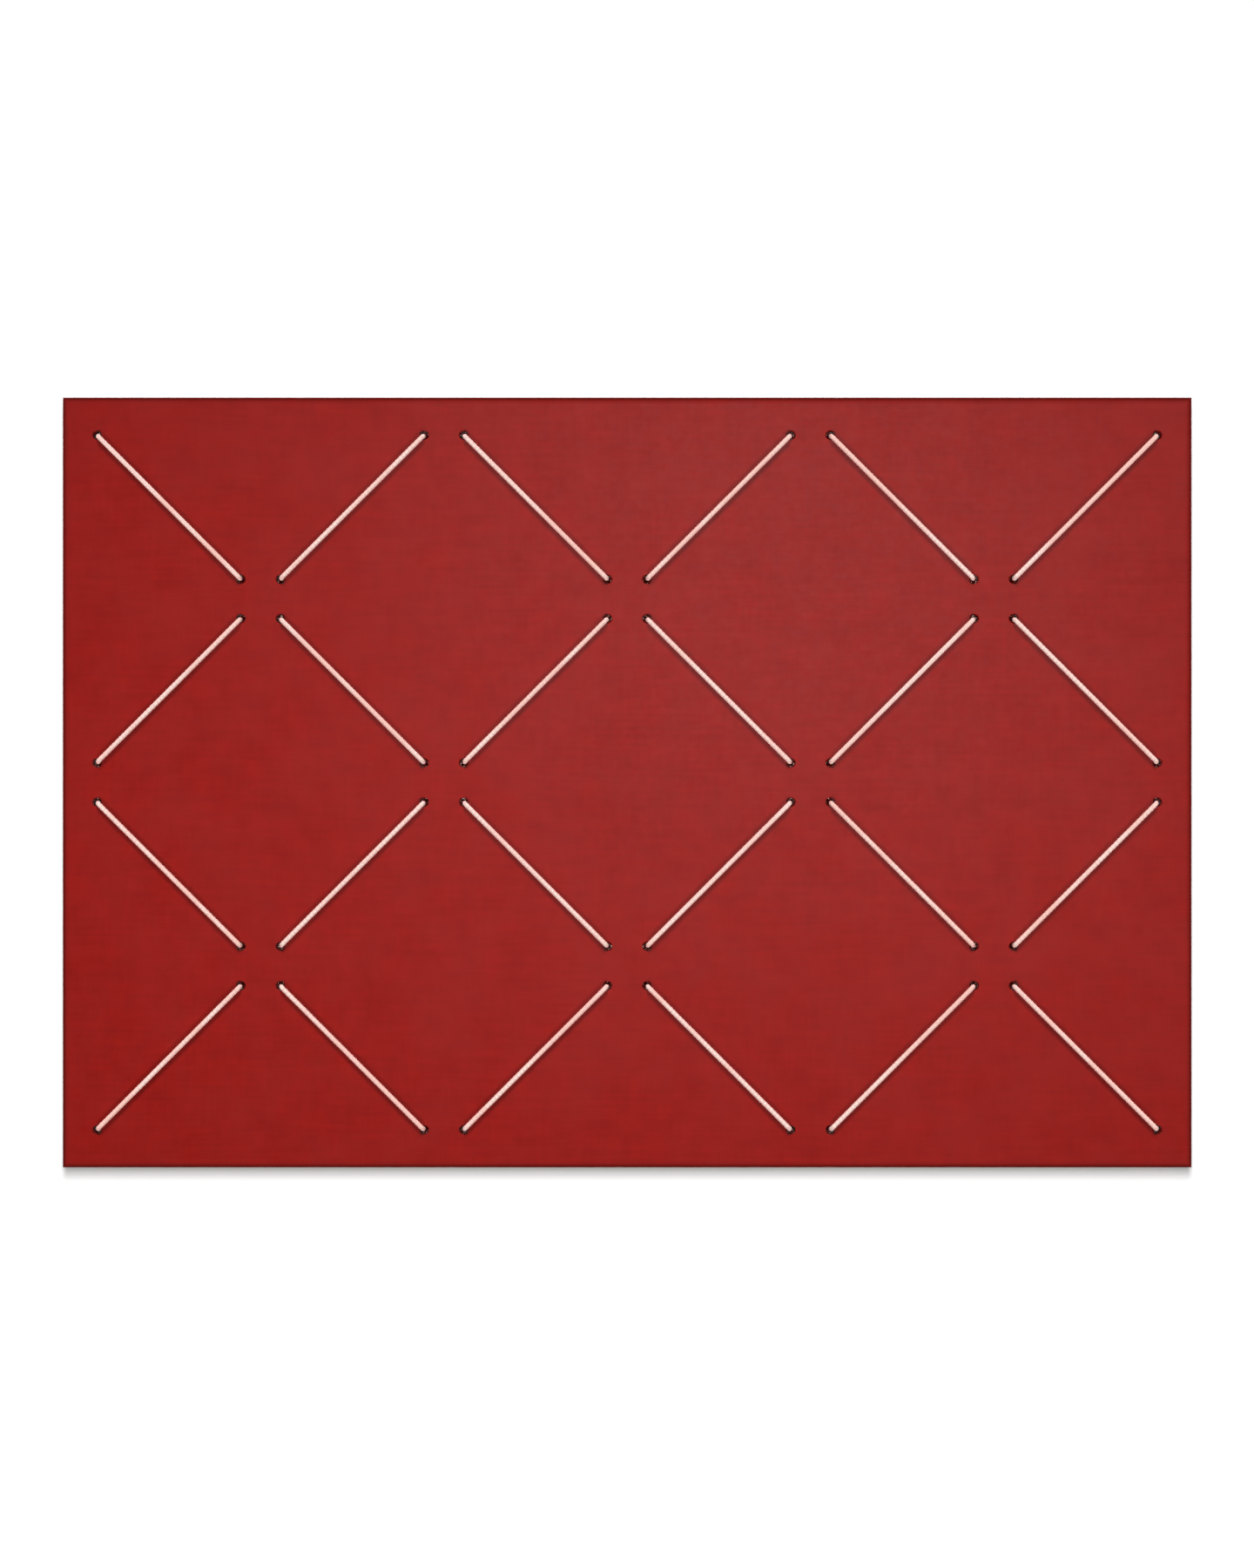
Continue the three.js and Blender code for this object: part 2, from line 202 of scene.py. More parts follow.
# Light of the world: straight in front, round that, behind, and behind in gloss
WORLD_FRONT = 0.02
WORLD_ROUND = 0.10
WORLD_BEHIND = 0.42
WORLD_BEHIND_IN_GLOSS = 0.62

# The lattice nodes that each cord visits, counted from the top left corner
CORD_A_NODES = [
    (0, 0), (1, 1), (2, 2), (3, 3), (4, 4), (5, 3), (6, 2),
    (5, 1), (4, 0), (3, 1), (2, 2), (1, 3), (0, 4),
]
CORD_B_NODES = [(COLUMNS - i, j) for i, j in CORD_A_NODES]

WALLWARD = Vector((0, 1, 0))


# Lattice and cord route, as in the CAD source


def hole_beside(node, towards):
    """Centre of the hole beside a node, on the side of the node that the stretch runs to."""
    side_x = math.copysign(1, towards[0] - node[0])
    side_z = math.copysign(1, node[1] - towards[1])
    x = (node[0] - COLUMNS / 2) * PITCH_X + side_x * NODE_GAP / 2
    z = BOARD_MIDDLE + (ROWS / 2 - node[1]) * PITCH_Z + side_z * NODE_GAP / 2
    return Vector((x, 0, z))


def cord_holes():
    """Centres of all the holes, one for each end of each stretch on the face."""
    holes = []
    for nodes in (CORD_A_NODES, CORD_B_NODES):
        for here, there in zip(nodes, nodes[1:]):
            holes.append(hole_beside(here, there))
            holes.append(hole_beside(there, here))
    return holes


def direction(start, end):
    return (end - start).normalized()


def rim_bend(hole, along, face_y, outward):
    """Centre line over a hole's rim, from the stretch outside to the inside of the hole."""
    rim = Vector((hole.x, face_y, hole.z)) + along * HOLE_RADIUS
    angles = [k * math.pi / 2 / BEND_STEPS for k in range(BEND_STEPS + 1)]
    return [
        rim + outward * (CORD_REACH * math.cos(a)) - along * (CORD_REACH * math.sin(a))
        for a in angles
    ]


def through_hole(hole, along_front, along_back):
    """From the stretch on the face, through a hole, to the run behind the panel."""
    front = rim_bend(hole, along_front, LINOLEUM_FRONT, -WALLWARD)
    back = rim_bend(hole, along_back, BACKING_REAR, WALLWARD)
    return front + back[::-1]


def smooth_step(share):
    """Rises from 0 to 1, level at both ends."""
    t = min(max(share, 0), 1)
    return t * t * (3 - 2 * t)


def hump_over(start, end):
    """A long low hump, where a run behind the panel passes over one laced before it."""
    points = []
    for k in range(1, HUMP_STEPS):
        share = k / HUMP_STEPS
        risen = smooth_step((min(share, 1 - share) - HUMP_START) / HUMP_RISE)
        points.append(start.lerp(end, share) + WALLWARD * (CROSSING_LIFT * risen))
    return points


def overhand_knot(run_end, along):
    """An overhand knot lying on the back of the panel, with its tail beside the hole."""
    side = along.cross(WALLWARD)

    def lobe(t):
        """Place on the trefoil: ahead, aside and risen."""
        radius = KNOT_RADIUS + KNOT_LOBE * math.cos(3 * t)
        return (-radius * math.cos(2 * t), radius * math.sin(2 * t), -KNOT_LOBE * math.sin(3 * t))

    first = lobe(KNOT_OPENING)

    def place(ahead, aside, rise):
        return (
            run_end
            + along * (ahead - first[0] + KNOT_LEAD)
            + side * (aside - first[1])
            + WALLWARD * (rise - first[2])
        )

    closed = 2 * math.pi - 2 * KNOT_OPENING
    turns = [KNOT_OPENING + closed * k / KNOT_STEPS for k in range(KNOT_STEPS + 1)]
    points = [place(*lobe(t)) for t in turns]
    for k in range(1, TAIL_STEPS + 1):
        share = k / TAIL_STEPS
        fall = KNOT_LOBE * smooth_step(share)
        points.append(place(first[0] - TAIL_LENGTH * share, -first[1], -first[2] - fall))
    return points


def laced_route(nodes, crossed):
    """The whole cord's centre line, from one knotted tail to the other."""
    route = []
    last = len(nodes) - 1
    for k in range(last):
        start = hole_beside(nodes[k], nodes[k + 1])
        end = hole_beside(nodes[k + 1], nodes[k])
        along = direction(start, end)
        before = -along if k == 0 else direction(start, hole_beside(nodes[k], nodes[k - 1]))
        after = along
        if k < last - 1:
            after = direction(end, hole_beside(nodes[k + 1], nodes[k + 2]))
        rising = through_hole(start, along, before)[::-1]
        if k == 0:
            route += overhand_knot(rising[0], -along)[::-1]
        else:
            inner = nodes[k][0] % COLUMNS != 0 and nodes[k][1] % ROWS != 0
            # The other run behind this node is laced already
            if inner and nodes[k] in crossed:
                route += hump_over(route[-1], rising[0])
            crossed.add(nodes[k])
        route += rising + through_hole(end, -along, after)
    outward = direction(
        hole_beside(nodes[last - 1], nodes[last]), hole_beside(nodes[last], nodes[last - 1])
    )
    return route + overhand_knot(route[-1], outward)


# Mesh building


def add_piece(name, mesh, material, replaced):
    """Puts a mesh in the scene as one piece, riding on the board in place of a CAD node."""
    mesh.materials.append(material)
    piece = bpy.data.objects.new(name, mesh)
    bpy.context.scene.collection.objects.link(piece)
    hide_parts(replaced)
    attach(piece, "root")
    return piece


def add_solid(name, verts, faces, material, replaced):
    """A piece with outward faces, smooth up to its sharp edges."""
    mesh = bpy.data.meshes.new(name)
    mesh.from_pydata(verts, [], faces)
    tidy = bmesh.new()
    tidy.from_mesh(mesh)
    bmesh.ops.recalc_face_normals(tidy, faces=tidy.faces)
    tidy.to_mesh(mesh)
    tidy.free()
    mesh.shade_smooth()
    mesh.set_sharp_from_angle(angle=SHARP_ANGLE)
    return add_piece(name, mesh, material, replaced)


def circle(x, z, radius, sides):
    angles = [2 * math.pi * k / sides for k in range(sides)]
    return [(x + radius * math.cos(a), z + radius * math.sin(a)) for a in angles]


def arc(x, z, radius, start, end, steps):
    angles = [start + (end - start) * k / steps for k in range(steps + 1)]
    return [(x + radius * math.cos(a), z + radius * math.sin(a)) for a in angles]


def rounded_rectangle(x, z, width, height, corner, steps):
    reach_x, reach_z = width / 2 - corner, height / 2 - corner
    centres = [(reach_x, reach_z), (-reach_x, reach_z), (-reach_x, -reach_z), (reach_x, -reach_z)]
    points = []
    for k, (cx, cz) in enumerate(centres):
        quarter = k * math.pi / 2
        points += arc(x + cx, z + cz, corner, quarter, quarter + math.pi / 2, steps)
    return points


def keyhole(x, growth):
    """The seat's arc at z = 0 over the wider arc of the entry, both grown by the same amount."""
    seat, entry = KEYHOLE_SLOT + growth, KEYHOLE_ENTRY + growth
    lean = math.asin(seat / entry)
    upper = arc(x, 0, seat, 0, math.pi, SEAT_STEPS)
    lower = arc(
        x, -KEYHOLE_DROP, entry, math.pi / 2 + lean, 2.5 * math.pi - lean, ENTRY_STEPS
    )
    return upper + lower


def arris(radius, steps=3, hold=0.1 * MM):
    """(inset, depth) pairs down a rounded edge, from the flat face to the wall."""
    angles = [math.pi / 2 * k / steps for k in range(steps + 1)]
    turn = [(radius * (1 - math.sin(a)), radius * (1 - math.cos(a))) for a in angles]
    return [(radius + hold, 0)] + turn


def walls(loop, front, rear, front_arris, rear_arris):
    """Rings of one wall between two faces, each (points, y), with its edges rounded."""
    rings = [(loop(inset), front + depth) for inset, depth in arris(front_arris)]
    back = [(loop(inset), rear - depth) for inset, depth in arris(rear_arris)]
    return rings + back[::-1]


def round_hole(x, z, radius, sides, front, rear, front_arris, rear_arris):
    """Rings of a round hole's wall, wider at both faces by the rounding of its rims."""
    return walls(
        lambda inset: circle(x, z, radius + inset, sides), front, rear, front_arris, rear_arris
    )


def band(first, second, count):
    """Quads between two rings of vertices, which start at these indices."""
    pairs = [(k, (k + 1) % count) for k in range(count)]
    return [(first + k, first + n, second + n, second + k) for k, n in pairs]


def fan(ring, pole, count):
    """Triangles between a ring of vertices, which starts at this index, and one vertex."""
    return [(ring + k, ring + (k + 1) % count, pole) for k in range(count)]


def cap_faces(loops, first_indices):
    """Triangles of a flat face between an outline and the holes in it."""
    outside_holes = 2
    merge_distance = 1e-9
    points = [Vector(p) for loop in loops for p in loop]
    indices = [first + k for loop, first in zip(loops, first_indices) for k in range(len(loop))]
    borders = []
    start = 0
    for loop in loops:
        borders.append(list(range(start, start + len(loop))))
        start += len(loop)
    result = delaunay_2d_cdt(points, [], borders, outside_holes, merge_distance)
    triangles, sources = result[2], result[3]
    return [tuple(indices[sources[v][0]] for v in triangle) for triangle in triangles]


def walled_plate(wall_rings):
    """Vertices and faces of a flat piece, from its outline wall and the walls of its holes."""
    verts, faces, front, rear = [], [], [], []
    for rings in wall_rings:
        starts = []
        for points, y in rings:
            starts.append(len(verts))
            verts += [(x, y, z) for x, z in points]
        for first, second in zip(starts, starts[1:]):
            faces += band(first, second, len(rings[0][0]))
        front.append((rings[0][0], starts[0]))
        rear.append((rings[-1][0], starts[-1]))
    for end in (front, rear):
        faces += cap_faces([points for points, _ in end], [start for _, start in end])
    return verts, faces


def lathe(profile, centre, sides):
    """A closed solid turned about a line along Y. The profile runs from pole to pole."""
    x, y, z = centre
    verts = [(x, y + profile[0][1], z)]
    for radius, depth in profile[1:-1]:
        verts += [(px, y + depth, pz) for px, pz in circle(x, z, radius, sides)]
    verts.append((x, y + profile[-1][1], z))
    starts = range(1, len(verts) - 1, sides)
    faces = fan(starts[0], 0, sides) + fan(starts[-1], len(verts) - 1, sides)
    for first, second in zip(starts, starts[1:]):
        faces += band(first, second, sides)
    return verts, faces


def carried_frames(centres):
    """Two cross directions at each point of a line, turned as little as possible on the way."""
    tangents = np.gradient(centres, axis=0)
    tangents /= np.linalg.norm(tangents, axis=1)[:, None]
    normals = np.zeros_like(tangents)
    normal = np.cross(tangents[0], (0.0, 1.0, 0.0))
    for k, tangent in enumerate(tangents):
        normal = normal - tangent * np.dot(normal, tangent)
        normal /= np.linalg.norm(normal)
        normals[k] = normal
    return normals, np.cross(tangents, normals)


def evenly_spaced(points, step):
    """The same line with its points at one spacing, and each point's distance from the start."""
    line = np.array([tuple(p) for p in points])
    pieces = np.linalg.norm(np.diff(line, axis=0), axis=1)
    travelled = np.concatenate([[0.0], np.cumsum(pieces)])
    count = int(round(travelled[-1] / step)) + 1
    at = np.linspace(0.0, travelled[-1], count)
    return np.column_stack([np.interp(at, travelled, line[:, k]) for k in range(3)]), at


def braided_cord(name, route, material, replaced):
    """A tube along the route, with the lumps of its braid in the mesh."""
    centres, at = evenly_spaced(route, CORD_RING_STEP)
    normals, binormals = carried_frames(centres)
    angles = 2 * np.pi * np.arange(CORD_SIDES) / CORD_SIDES
    lumps = np.cos(2 * np.pi * at / BRAID_PITCH)[:, None] * np.cos(BRAID_STRANDS * angles)[None, :]
    radius = CORD_RADIUS + BRAID_RELIEF * lumps
    radius[[0, -1]] *= CORD_END_SHARE
    around = (
        np.cos(angles)[None, :, None] * normals[:, None, :]
        + np.sin(angles)[None, :, None] * binormals[:, None, :]
    )
    rings = centres[:, None, :] + radius[:, :, None] * around
    verts = [tuple(v) for v in rings.reshape(-1, 3)] + [tuple(centres[0]), tuple(centres[-1])]
    faces, uvs = [], []
    count = len(centres)
    for i in range(count - 1):
        for k in range(CORD_SIDES):
            n = (k + 1) % CORD_SIDES
            a, b = i * CORD_SIDES, (i + 1) * CORD_SIDES
            faces.append((a + k, b + k, b + n, a + n))
            low, high = k / CORD_SIDES, (k + 1) / CORD_SIDES
            uvs += [(at[i], low), (at[i + 1], low), (at[i + 1], high), (at[i], high)]
    for ring, pole in ((0, len(verts) - 2), (count - 1, len(verts) - 1)):
        for k in range(CORD_SIDES):
            n = (k + 1) % CORD_SIDES
            a, b = ring * CORD_SIDES + k, ring * CORD_SIDES + n
            faces.append((a, b, pole) if ring == 0 else (b, a, pole))
            uvs += [(at[ring], 0.5)] * 3
    mesh = bpy.data.meshes.new(name)
    mesh.from_pydata(verts, [], faces)
    layer = mesh.uv_layers.new(name="along_cord")
    layer.data.foreach_set("uv", np.array(uvs, dtype=np.float32).ravel())
    mesh.shade_smooth()
    add_piece(name, mesh, material, replaced)


# Shader nodes


def feed(tree, socket, value):
    """Links a socket to the one that feeds it, or sets its value."""
    if isinstance(value, bpy.types.NodeSocket):
        tree.links.new(value, socket)
    else:
        socket.default_value = value


def add_node(tree, kind, inputs=(), **settings):
    """A node with these settings, whose inputs are given by index or name."""
    node = tree.nodes.new(kind)
    for key, value in settings.items():
        setattr(node, key, value)
    for key, value in dict(inputs).items():
        feed(tree, node.inputs[key], value)
    return node


class Look:
    """A node material with a Principled shader, and short calls that add and link its nodes."""

    def __init__(self, name, **constants):
        self.material = bpy.data.materials.new(name)
        self.material.use_nodes = True
        self.tree = self.material.node_tree
        self.shader = self.tree.nodes["Principled BSDF"]
        for socket, value in constants.items():
            self.shader.inputs[socket.replace("_", " ")].default_value = value
        self.place = self.add("ShaderNodeTexCoord").outputs["Object"]

    def add(self, kind, inputs=(), **settings):
        return add_node(self.tree, kind, inputs, **settings)

    def math(self, operation, a, b=0.0):
        return self.add("ShaderNodeMath", {0: a, 1: b}, operation=operation).outputs[0]

    def weighted(self, *terms):
        """The sum of values times their weights, given as pairs."""
        total = 0.0
        for value, weight in terms:
            inputs = {0: value, 1: weight, 2: total}
            total = self.add("ShaderNodeMath", inputs, operation="MULTIPLY_ADD").outputs[0]
        return total

    def squares(self, a, b):
        """The sum of two values' squares."""
        return self.math("ADD", self.math("POWER", a, 2.0), self.math("POWER", b, 2.0))

    def parts(self, vector=None):
        """The x, y and z of a vector, or of the place in the object."""
        source = self.place if vector is None else vector
        return self.add("ShaderNodeSeparateXYZ", {0: source}).outputs

    def attribute(self, name):
        return self.add("ShaderNodeAttribute", attribute_name=name).outputs["Fac"]

    def noise(self, scale, detail=3.0, roughness=0.5, stretch=None):
        """Noise at the place in the object, which may be scaled in each direction first."""
        vector = self.place
        if stretch:
            mapping = self.add("ShaderNodeMapping", {"Vector": vector, "Scale": stretch})
            vector = mapping.outputs[0]
        inputs = {"Vector": vector, "Scale": scale, "Detail": detail, "Roughness": roughness}
        return self.add("ShaderNodeTexNoise", inputs).outputs["Fac"]

    def remap(self, value, low, high, to_low=0.0, to_high=1.0):
        inputs = {0: value, 1: low, 2: high, 3: to_low, 4: to_high}
        return self.add("ShaderNodeMapRange", inputs).outputs[0]

    def blend(self, share, first, second):
        """From the first colour to the second, each a socket or red, green and blue."""
        inputs = {0: share}
        for index, colour in ((6, first), (7, second)):
            inputs[index] = colour if isinstance(colour, bpy.types.NodeSocket) else (*colour, 1)
        return self.add("ShaderNodeMix", inputs, data_type="RGBA").outputs[2]

    def finish(self, colour, roughness, height, relief):
        """Feeds the shader, with the height as bump of this depth, and returns the material."""
        bump = self.add("ShaderNodeBump", {"Height": height, "Strength": 1.0, "Distance": relief})
        feed(self.tree, self.shader.inputs["Base Color"], colour)
        feed(self.tree, self.shader.inputs["Roughness"], roughness)
        feed(self.tree, self.shader.inputs["Normal"], bump.outputs["Normal"])
        return self.material


def linoleum_look():
    """Dark red linoleum with faint mottling and streaks, a dull dark cut edge, and painted shade."""
    look = Look("linoleum", Specular_IOR_Level=0.45)
    mottle = look.noise(70, 5, 0.6)
    streaks = look.noise(1, 3, 0.6, stretch=(30, 30, 420))
    threads = look.noise(1, 2, 0.5, stretch=(420, 30, 60))
    grain = look.noise(1800, 2)
    tone = look.weighted((mottle, 0.45), (streaks, 0.35), (threads, 0.2))
    colour = look.blend(
        look.remap(tone, 0.38, 0.62), (0.258, 0.0080, 0.0060), (0.321, 0.0100, 0.0070)
    )
    clouds = look.remap(look.noise(26, 5, 0.65), 0.38, 0.62, 0, 0.3)
    colour = look.blend(clouds, colour, (0.29, 0.019, 0.017))
    colour = look.blend(look.remap(grain, 0.62, 0.8, 0, 0.25), colour, (0.36, 0.016, 0.011))
    # Painted shade: darker towards the outline, where the light falls off
    x, _, z = look.parts()
    across = look.math("DIVIDE", x, BOARD_WIDTH / 2)
    upright = look.math("DIVIDE", look.math("SUBTRACT", z, BOARD_MIDDLE), BOARD_HEIGHT / 2)
    painted_falloff_shade = look.remap(look.squares(across, upright), 0.1, 2, 0, 0.14)
    colour = look.blend(painted_falloff_shade, colour, (0.02, 0.0, 0.0))
    # Dark edge: the cut edge's dull colour, with painted shade on the arris, hole walls and border
    edge = look.attribute("dark_edge")
    colour = look.blend(look.math("MULTIPLY", edge, 0.76), colour, (0.07, 0.004, 0.003))
    satin = look.remap(look.noise(240, 3), 0.3, 0.7, 0.31, 0.35)
    roughness = look.weighted((satin, 1), (edge, 0.45))
    height = look.weighted((grain, 0.7), (streaks, 0.3))
    return look.finish(colour, roughness, height, relief=0.012 * MM)


def red_bounce_in_hole(look):
    """Painted red bounce share: 1 in the front part of a cord hole and on its wall there, 0
    elsewhere.
    """
    x, y, z = look.parts()
    upright = look.math("SUBTRACT", z, BOARD_MIDDLE)
    beside = []
    for place, pitch in ((x, PITCH_X), (upright, PITCH_Z)):
        from_node = look.math("PINGPONG", place, pitch / 2)
        beside.append(look.math("SUBTRACT", from_node, NODE_GAP / 2))
    off_axis = look.math("SQRT", look.squares(*beside))
    fades, ends = HOLE_RADIUS + RED_BOUNCE_FADES_PAST_HOLE, HOLE_RADIUS + RED_BOUNCE_ENDS_PAST_HOLE
    share = look.remap(off_axis, fades, ends, 1.0, 0.0)
    share = look.math("MULTIPLY", share, look.remap(y, RED_BOUNCE_FADES_Y, RED_BOUNCE_ENDS_Y, 1.0, 0.0))
    for place, limit in ((x, BOARD_WIDTH / 2), (upright, BOARD_HEIGHT / 2)):
        fades, ends = limit - RED_BOUNCE_FROM_BORDER, limit - RED_BOUNCE_FREE_BORDER
        within = look.remap(look.math("ABSOLUTE", place), fades, ends, 1.0, 0.0)
        share = look.math("MULTIPLY", share, within)
    return share


def core_look():
    """Dark through-dyed fibreboard with short pale fibres, and painted red bounce light in its
    holes.
    """
    look = Look("core_fibreboard", Specular_IOR_Level=0.15)
    fibres = look.noise(1, 4, 0.7, stretch=(260, 2400, 420))
    specks = look.noise(1600, 3, 0.6)
    colour = look.blend(
        look.remap(fibres, 0.3, 0.7), (0.015, 0.010, 0.008), (0.052, 0.036, 0.029)
    )
    colour = look.blend(look.remap(specks, 0.66, 0.8, 0, 0.5), colour, (0.16, 0.12, 0.09))
    # Painted red bounce light on the walls of the holes' front part
    colour = look.blend(red_bounce_in_hole(look), colour, (0.34, 0.007, 0.003))
    roughness = look.remap(fibres, 0.3, 0.7, 0.82, 0.95)
    return look.finish(colour, roughness, fibres, relief=0.06 * MM)


def backing_look():
    """Brown board: matted fibres with lighter flecks and a faint cloudiness."""
    look = Look("backing_board", Specular_IOR_Level=0.3)
    clouds = look.noise(14, 4, 0.6)
    fibres = look.noise(1, 5, 0.7, stretch=(520, 520, 900))
    flecks = look.noise(1, 2, 0.5, stretch=(700, 700, 160))
    tone = look.weighted((clouds, 0.28), (fibres, 0.72))
    colour = look.blend(look.remap(tone, 0.34, 0.66), (0.088, 0.052, 0.030), (0.155, 0.098, 0.060))
    colour = look.blend(look.remap(flecks, 0.66, 0.78, 0, 0.6), colour, (0.27, 0.19, 0.12))
    edge = look.attribute("dark_edge")
    colour = look.blend(look.math("MULTIPLY", edge, 0.5), colour, (0.06, 0.036, 0.022))
    roughness = look.remap(fibres, 0.3, 0.7, 0.72, 0.88)
    return look.finish(colour, roughness, fibres, relief=0.05 * MM)


def cord_look():
    """Braided textile over rubber, cream to salmon along it, with painted red bounce light in the
    holes.
    """
    look = Look("braided_cord", Specular_IOR_Level=0.2, Sheen_Weight=0.15, Sheen_Roughness=0.5)
    along, turned, _ = look.parts(look.add("ShaderNodeUVMap", uv_map="along_cord").outputs[0])
    run = look.math("DIVIDE", along, BRAID_PITCH)
    turn = look.math("MULTIPLY", turned, float(BRAID_STRANDS))
    rising = look.math("ADD", run, turn)
    falling = look.math("SUBTRACT", run, turn)

    def wave(phase, per_strand):
        return look.math("COSINE", look.math("MULTIPLY", phase, math.pi * per_strand))

    on_top = look.remap(look.math("MULTIPLY", wave(rising, 1), wave(falling, 1)), -0.15, 0.15)
    yarns = look.add("ShaderNodeMix", {0: on_top, 2: wave(rising, 10), 3: wave(falling, 10)})
    lumps = look.remap(look.math("ADD", wave(rising, 2), wave(falling, 2)), -2, 2)
    drift = look.math("ADD", look.noise(60, 2), look.noise(11, 1))
    strands = look.blend(on_top, (0.93, 0.61, 0.585), (0.96, 0.74, 0.635))
    strands = look.blend(look.remap(drift, 0.85, 1.15, 0, 0.85), strands, (0.925, 0.535, 0.47))
    # Painted shade in the hollows between the braid's lumps
    colour = look.blend(look.remap(lumps, 0.0, 0.45, 0.45, 0), strands, (0.66, 0.38, 0.31))
    # Painted red bounce light on the cord inside a hole's front part, on the sides not facing the
    # wall
    depth = look.math("SUBTRACT", look.parts()[1], LINOLEUM_FRONT)
    entered = look.remap(depth, CORD_RED_BOUNCE_STARTS, CORD_RED_BOUNCE_FULL)
    outward = look.parts(look.add("ShaderNodeTexCoord").outputs["Normal"])[1]
    red_bounce = look.math("MULTIPLY", entered, look.remap(outward, -0.1, 0.3, 0.95, 0.0))
    red_bounce = look.math("MULTIPLY", red_bounce, red_bounce_in_hole(look))
    colour = look.blend(red_bounce, colour, (0.70, 0.018, 0.008))
    roughness = look.remap(look.noise(900, 2), 0.3, 0.7, 0.8, 0.95)
    height = look.weighted((lumps, 1), (yarns.outputs[0], 0.12))
    return look.finish(colour, roughness, height, relief=0.10 * MM)


def pine_look():
    """Planed pine: growth rings round a pith behind the board, fine fibres and resin flecks."""
    look = Look("pine", Specular_IOR_Level=0.35)
    _, y, z = look.parts()
    off_pith = look.squares(look.math("SUBTRACT", y, PITH_Y), look.math("SUBTRACT", z, PITH_Z))
    sway = look.noise(1, 2, 0.5, stretch=(2.2, 9, 9))
    reach = look.weighted((look.math("SQRT", off_pith), 1), (sway, 0.016))
    inputs = {"W": look.math("MULTIPLY", reach, 70.0), "Scale": 1.0, "Detail": 2.0}
    years = look.add("ShaderNodeTexNoise", inputs, noise_dimensions="1D").outputs["Fac"]
    ring = look.math("FRACT", look.weighted((reach, RINGS_PER_METRE), (years, 3.2)))
    season = look.remap(years, 0.3, 0.7, 0.45, 1.0)
    late = look.math("MULTIPLY", look.math("POWER", ring, 3.0), season)
    fibres = look.noise(1, 4, 0.6, stretch=(14, 1300, 1300))
    flecks = look.noise(1, 2, 0.5, stretch=(60, 1500, 1500))
    colour = look.blend(late, (0.62, 0.425, 0.235), (0.44, 0.245, 0.105))
    colour = look.blend(look.remap(fibres, 0.3, 0.7, 0, 0.4), colour, (0.50, 0.32, 0.16))
    colour = look.blend(look.remap(flecks, 0.68, 0.78, 0, 0.6), colour, (0.25, 0.13, 0.055))
    roughness = look.remap(fibres, 0.3, 0.7, 0.5, 0.68)
    height = look.weighted((late, 0.5), (fibres, 0.5))
    return look.finish(colour, roughness, height, relief=0.05 * MM)


def steel_look(name, tint, least_roughness):
    """Zinc-plated steel: fine drawn lines, cloudy plating and small dull spots."""
    look = Look(name, Metallic=1.0)
    lines = look.noise(1, 3, 0.6, stretch=(90, 2600, 2600))
    clouds = look.noise(160, 4, 0.6)
    spots = look.noise(700, 2)
    colour = look.blend(look.remap(clouds, 0.3, 0.7), tint, tuple(0.9 * c for c in tint))
    colour = look.blend(look.remap(spots, 0.66, 0.8, 0, 0.5), colour, (0.36, 0.35, 0.33))
    cloudy = look.remap(clouds, 0.3, 0.7, least_roughness, least_roughness + 0.07)
    roughness = look.weighted((cloudy, 1), (lines, 0.08))
    return look.finish(colour, roughness, lines, relief=0.008 * MM)


def felt_look():
    """Grey pressed wool: tangled light and dark fibres."""
    look = Look("felt", Specular_IOR_Level=0.1, Sheen_Weight=0.4, Sheen_Roughness=0.6)
    fuzz = look.noise(2600, 5, 0.75)
    clumps = look.noise(500, 4, 0.6)
    strands = look.noise(1, 3, 0.7, stretch=(900, 900, 3600))
    colour = look.blend(look.remap(clumps, 0.3, 0.7), (0.062, 0.059, 0.055), (0.128, 0.121, 0.112))
    colour = look.blend(look.remap(strands, 0.6, 0.75, 0, 0.6), colour, (0.27, 0.26, 0.245))
    roughness = look.remap(fuzz, 0.3, 0.7, 0.9, 1.0)
    height = look.weighted((fuzz, 0.6), (clumps, 0.4))
    return look.finish(colour, roughness, height, relief=0.25 * MM)


# Pieces


def board_outline(inset):
    x = BOARD_WIDTH / 2 - inset
    low = BOARD_MIDDLE - BOARD_HEIGHT / 2 + inset
    high = BOARD_MIDDLE + BOARD_HEIGHT / 2 - inset
    return [(x, low), (x, high), (-x, high), (-x, low)]


def edge_distance(place):
    """How far inside the board's outline a place is."""
    across = BOARD_WIDTH / 2 - abs(place.x)
    upright = BOARD_HEIGHT / 2 - abs(place.z - BOARD_MIDDLE)
    return min(across, upright)


def mark_dark_edge(piece, share_at):
    """Keeps on each vertex how strongly the darker edge colour, and any painted shade in it, shows
    there.
    """
    attribute = piece.data.attributes.new("dark_edge", "FLOAT", "POINT")
    values = [share_at(v.co) for v in piece.data.vertices]
    attribute.data.foreach_set("value", values)


